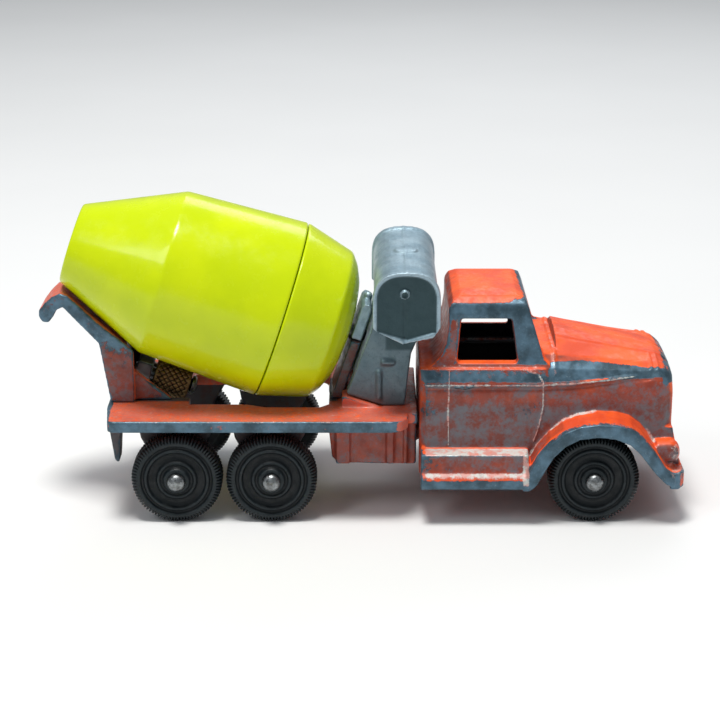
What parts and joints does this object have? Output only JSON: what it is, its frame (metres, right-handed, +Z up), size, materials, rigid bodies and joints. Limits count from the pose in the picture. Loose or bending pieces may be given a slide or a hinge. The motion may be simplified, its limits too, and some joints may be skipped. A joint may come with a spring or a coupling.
{
  "type": "toy cement mixer",
  "caption": "Die-cast toy cement mixer truck with a free-turning tilted plastic drum, a rear chute, a water tank and rolling wheels.",
  "frame": {"origin": "centre of the overall box, on the floor that the wheels stand on", "axes": "+X towards the front of the truck, +Y its left side, +Z up"},
  "size_m": [0.1026, 0.0336, 0.05],
  "materials": {
    "red_paint": "glossy orange-red enamel on a zinc die casting, worn through along the edges",
    "bare_zinc": "bare, oxidised blue-grey zinc die casting",
    "yellow_plastic": "glossy yellow-green moulded plastic",
    "black_plastic": "satin black moulded plastic",
    "axle_steel": "plain steel wire with formed domed heads",
    "knurled_brass": "dull brass with a diamond knurl"
  },
  "bodies": {
    "truck": {"cab_casting": "red_paint", "chassis_deck": "red_paint", "chute_support": "red_paint", "front_bracket": "red_paint", "bearing_cap": "bare_zinc", "water_tank": "bare_zinc", "tank_pedestal": "bare_zinc", "drum_spindle": "axle_steel", "roller_pin": "axle_steel", "axle_front": "axle_steel", "axle_middle": "axle_steel", "axle_rear": "axle_steel", "cab_rivet_1": "bare_zinc", "cab_rivet_2": "bare_zinc", "support_rivet_1": "bare_zinc", "support_rivet_2": "bare_zinc", "tank_rivet": "bare_zinc"},
    "drum": {"drum_rear_shell": "yellow_plastic", "drum_front_shell": "yellow_plastic"},
    "roller": {"carrier_roller": "knurled_brass"},
    "front_left_wheel": {"wheel_front_left": "black_plastic"},
    "front_right_wheel": {"wheel_front_right": "black_plastic"},
    "middle_left_wheel": {"wheel_middle_left": "black_plastic"},
    "middle_right_wheel": {"wheel_middle_right": "black_plastic"},
    "rear_left_wheel": {"wheel_rear_left": "black_plastic"},
    "rear_right_wheel": {"wheel_rear_right": "black_plastic"}
  },
  "joints": [
    {"name": "drum_spin", "type": "hinge", "parent": "truck", "child": "drum", "pos_m": [-0.02, 0, 0.0334], "axis": [0.9489, 0, -0.3156], "continuous": true},
    {"name": "roller_spin", "type": "hinge", "parent": "truck", "child": "roller", "pos_m": [-0.02536, 0, 0.01727], "axis": [0.9489, 0, -0.3156], "continuous": true},
    {"name": "front_left_spin", "type": "hinge", "parent": "truck", "child": "front_left_wheel", "pos_m": [0.037, 0, 0.0072], "axis": [0, 1, 0], "continuous": true},
    {"name": "front_right_spin", "type": "hinge", "parent": "truck", "child": "front_right_wheel", "pos_m": [0.037, 0, 0.0072], "axis": [0, 1, 0], "continuous": true},
    {"name": "middle_left_spin", "type": "hinge", "parent": "truck", "child": "middle_left_wheel", "pos_m": [-0.014, 0, 0.0072], "axis": [0, 1, 0], "continuous": true},
    {"name": "middle_right_spin", "type": "hinge", "parent": "truck", "child": "middle_right_wheel", "pos_m": [-0.014, 0, 0.0072], "axis": [0, 1, 0], "continuous": true},
    {"name": "rear_left_spin", "type": "hinge", "parent": "truck", "child": "rear_left_wheel", "pos_m": [-0.029, 0, 0.0072], "axis": [0, 1, 0], "continuous": true},
    {"name": "rear_right_spin", "type": "hinge", "parent": "truck", "child": "rear_right_wheel", "pos_m": [-0.029, 0, 0.0072], "axis": [0, 1, 0], "continuous": true}
  ],
  "couplings": [
    {"joint": "roller_spin", "follows": "drum_spin", "ratio": -4.6149}
  ]
}
